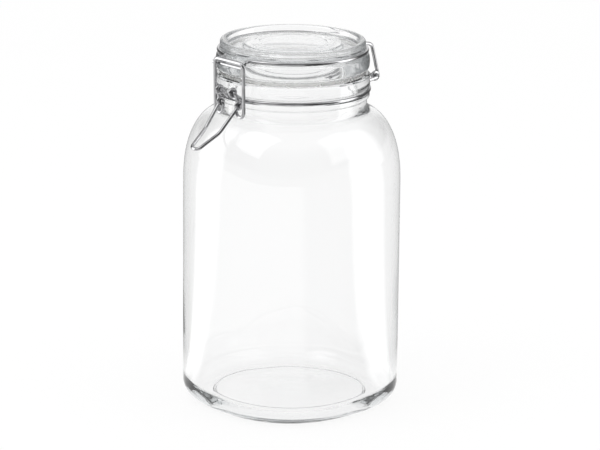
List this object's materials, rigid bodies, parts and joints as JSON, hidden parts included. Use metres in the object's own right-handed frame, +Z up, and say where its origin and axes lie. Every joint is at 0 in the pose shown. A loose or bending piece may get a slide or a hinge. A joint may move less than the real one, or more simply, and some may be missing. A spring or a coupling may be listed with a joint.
{
  "type": "clip-top jar",
  "caption": "Rounded-square clear glass storage jar with a hinged glass lid, sealing ring and wire over-centre clip.",
  "frame": {"origin": "centre of the jar's base, on the vertical axis, in the plane it stands on", "axes": "+Z up, clip at the front on -Y, hinge at the back on +Y, both pivots turn about X"},
  "size_m": [0.142, 0.1598, 0.2548],
  "materials": {
    "glass": "clear, pressed and fire-polished",
    "steel_wire": "bright drawn",
    "gasket": "translucent white, matte"
  },
  "bodies": {
    "jar": {"jar_glass": "glass", "neck_wire": "steel_wire"},
    "lid": {"lid_glass": "glass", "gasket": "gasket", "lid_wire": "steel_wire"},
    "lever": {"lever_wire": "steel_wire"},
    "latch": {"latch_wire": "steel_wire"}
  },
  "joints": [
    {"name": "lid_hinge", "type": "hinge", "parent": "jar", "child": "lid", "pos_m": [0, 0.0625, 0.2228], "axis": [-1, 0, 0], "range_deg": [0, 110]},
    {"name": "lever_pivot", "type": "hinge", "parent": "jar", "child": "lever", "pos_m": [0, -0.06, 0.227], "axis": [-1, 0, 0], "range_deg": [0, 110]},
    {"name": "latch_pivot", "type": "hinge", "parent": "lever", "child": "latch", "pos_m": [0, -0.0567, 0.2183], "axis": [-1, 0, 0], "range_deg": [-110, 0]}
  ],
  "couplings": [
    {"joint": "latch_pivot", "follows": "lever_pivot", "ratio": -1}
  ]
}
